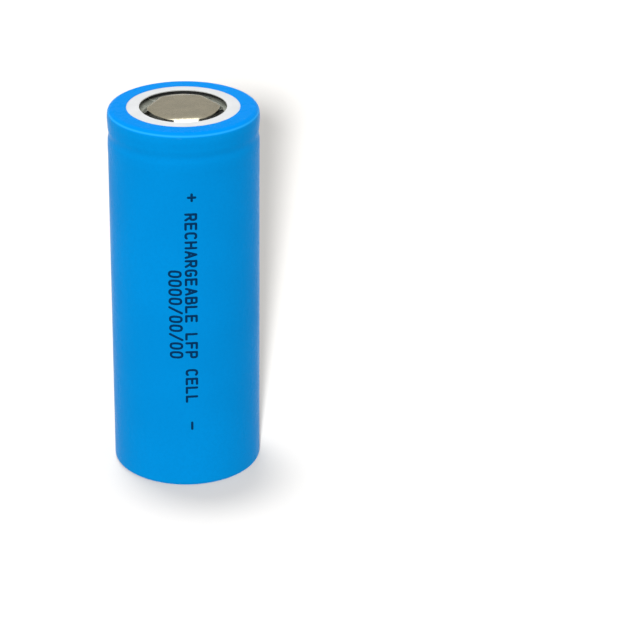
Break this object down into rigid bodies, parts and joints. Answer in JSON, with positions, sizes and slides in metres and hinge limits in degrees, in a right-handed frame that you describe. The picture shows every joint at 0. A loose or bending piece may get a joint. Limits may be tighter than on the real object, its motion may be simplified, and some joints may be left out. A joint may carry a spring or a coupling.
{
  "type": "cylindrical battery cell",
  "caption": "Rechargeable round battery cell with a flat positive contact at one end, a steel can as the negative pole and a blue shrink sleeve.",
  "frame": {"origin": "centre of the negative end, on the surface that the cell stands on", "axes": "+Z along the cell's axis, from the negative end to the positive contact"},
  "size_m": [0.026, 0.026, 0.0665],
  "materials": {
    "sleeve_film": "satin",
    "washer_fibre": "matte",
    "plated_steel": "satin",
    "gasket_plastic": "matte",
    "cap_nickel": "satin",
    "vent_aluminium": "satin",
    "insulator_plastic": "matte",
    "plate_aluminium": "satin",
    "insulator_board": "matte",
    "tab_aluminium": "satin",
    "tab_nickel": "satin",
    "amber_tape": "gloss",
    "cathode_coat": "matte",
    "anode_coat": "matte",
    "separator_film": "satin"
  },
  "bodies": {
    "root": {"shrink_sleeve": "sleeve_film", "top_insulator_ring": "washer_fibre", "can": "plated_steel", "crimp_gasket": "gasket_plastic", "positive_cap": "cap_nickel", "burst_disc": "vent_aluminium", "vent_insulator_ring": "insulator_plastic", "weld_plate": "plate_aluminium", "upper_insulator_disc": "insulator_board", "positive_tab": "tab_aluminium", "positive_tab_tape": "amber_tape", "cathode_sheet": "cathode_coat", "anode_sheet": "anode_coat", "separator_inner": "separator_film", "separator_outer": "separator_film", "roll_closing_tape": "amber_tape", "negative_tab": "tab_nickel", "negative_tab_tape": "amber_tape", "lower_insulator_disc": "insulator_board"}
  },
  "joints": []
}
